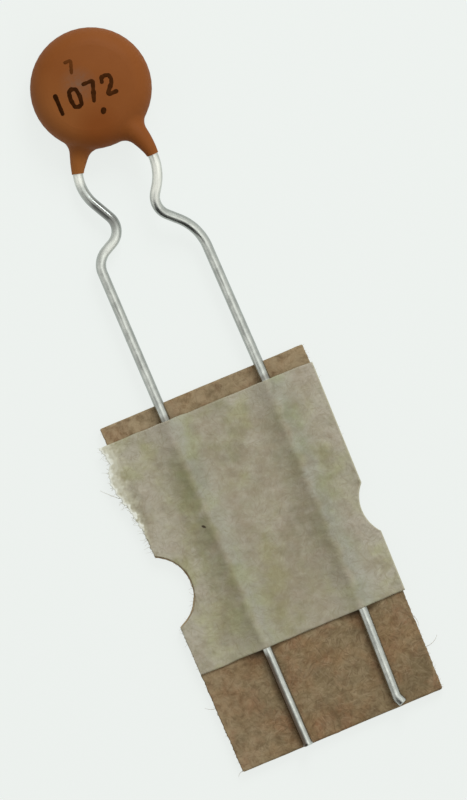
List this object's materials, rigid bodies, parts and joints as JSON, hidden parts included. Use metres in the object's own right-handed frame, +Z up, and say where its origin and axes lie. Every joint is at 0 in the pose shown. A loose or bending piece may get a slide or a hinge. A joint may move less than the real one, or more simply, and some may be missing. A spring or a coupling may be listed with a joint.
{
  "type": "ceramic disc capacitor",
  "caption": "Ceramic disc capacitor with a brown dipped coating and kinked wire leads, held under paper tape on a cut piece of kraft carrier card.",
  "frame": {"origin": "on the underside of the card, on the line of the feed holes, halfway between the two holes", "axes": "+X along the carrier tape, +Y along the leads from the feed holes to the disc, +Z up from the surface it lies on"},
  "size_m": [0.0113, 0.0363, 0.0026],
  "materials": {
    "coating": "orange-brown dipped resin, satin",
    "ceramic": "fired, unglazed",
    "silver_film": "fired silver film",
    "solder": "dull solder",
    "tinned_wire": "tinned copper wire, lightly scuffed",
    "kraft_card": "solid kraft card",
    "paper_tape": "thin greyish translucent paper tape"
  },
  "bodies": {
    "root": {"coating": "coating", "ceramic_disc": "ceramic", "front_electrode": "silver_film", "rear_electrode": "silver_film", "front_solder": "solder", "rear_solder": "solder", "left_lead": "tinned_wire", "right_lead": "tinned_wire", "carrier_card": "kraft_card", "hold_down_tape": "paper_tape"}
  },
  "joints": []
}
